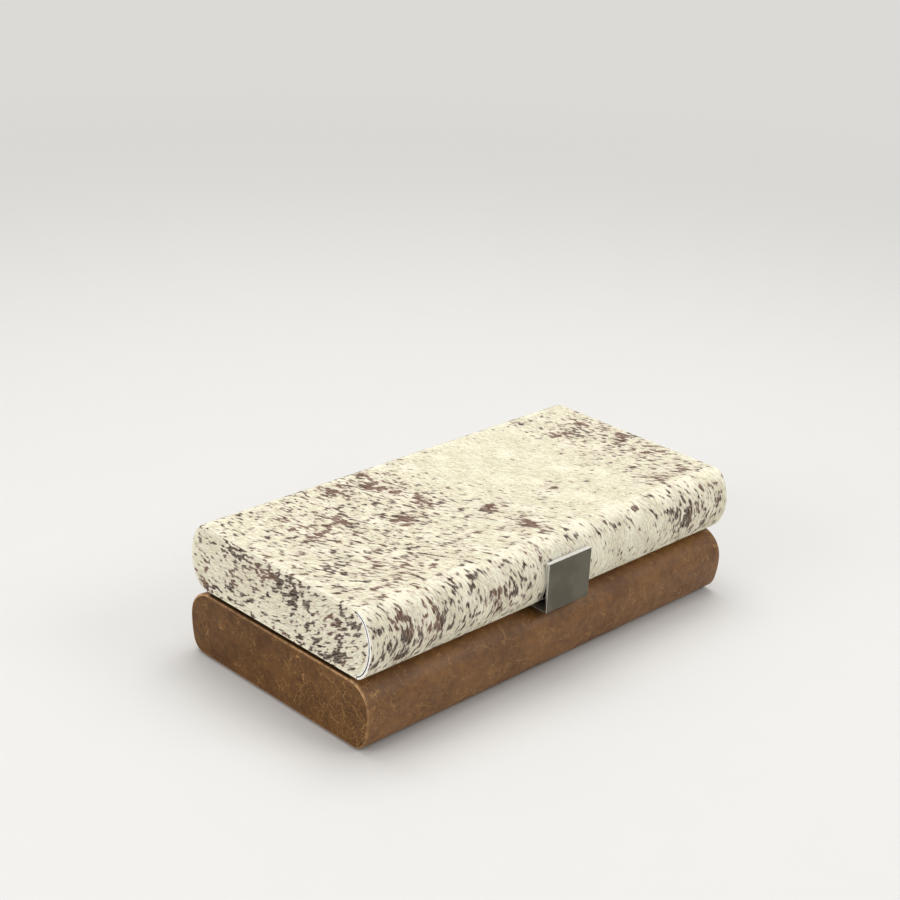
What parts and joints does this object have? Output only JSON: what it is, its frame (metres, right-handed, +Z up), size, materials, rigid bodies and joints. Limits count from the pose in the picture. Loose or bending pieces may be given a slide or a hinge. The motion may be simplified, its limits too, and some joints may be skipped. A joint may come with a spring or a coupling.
{
  "type": "stationery box",
  "caption": "Long low box for papers and keepsakes: bullnose base and lid hinged at the back, lined, with a locating lip and a magnetic clasp plate at the front.",
  "frame": {"origin": "centre of the underside, on the surface that the box stands on", "axes": "+X along the length, -Y towards the clasp at the front, +Z up"},
  "size_m": [0.3, 0.1564, 0.0836],
  "materials": {
    "hair_on_hide": "cream hair-on hide with short brown speckles, pale cut edges",
    "brown_leather": "waxed brown leather with paler veins and worn edges",
    "wood": "bare planed beech",
    "suede": "dark brown suede lining",
    "polished_steel": "polished stainless steel",
    "nickel": "satin nickel plate",
    "magnet": "nickel-plated magnet"
  },
  "bodies": {
    "base": {"underlay": "suede", "floor_board": "wood", "base_front_rail": "wood", "base_back_rail": "wood", "base_left_end": "wood", "base_right_end": "wood", "base_dowels": "wood", "base_leather": "brown_leather", "base_left_leather": "brown_leather", "base_right_leather": "brown_leather", "floor_lining": "suede", "base_front_lining": "suede", "base_back_lining": "suede", "base_left_lining": "suede", "base_right_lining": "suede", "catch_magnets": "magnet", "left_hinge_base_leaf": "nickel", "right_hinge_base_leaf": "nickel", "left_hinge_pin": "nickel", "right_hinge_pin": "nickel", "base_hinge_screws": "nickel"},
    "lid": {"top_board": "wood", "lid_front_rail": "wood", "lid_back_rail": "wood", "lid_left_end": "wood", "lid_right_end": "wood", "lid_dowels": "wood", "lid_hide": "hair_on_hide", "lid_left_hide": "hair_on_hide", "lid_right_hide": "hair_on_hide", "top_lining": "suede", "lid_front_lining": "suede", "lid_back_lining": "suede", "lid_left_lining": "suede", "lid_right_lining": "suede", "clasp_plate": "polished_steel", "clasp_back_leaf": "polished_steel", "clasp_rivets": "polished_steel", "clasp_screws": "polished_steel", "left_hinge_lid_leaf": "nickel", "right_hinge_lid_leaf": "nickel", "lid_hinge_screws": "nickel"}
  },
  "joints": [
    {"name": "lid_hinge", "type": "hinge", "parent": "base", "child": "lid", "pos_m": [0, 0.071, 0.04205], "axis": [-1, 0, 0], "range_deg": [0, 95]}
  ]
}
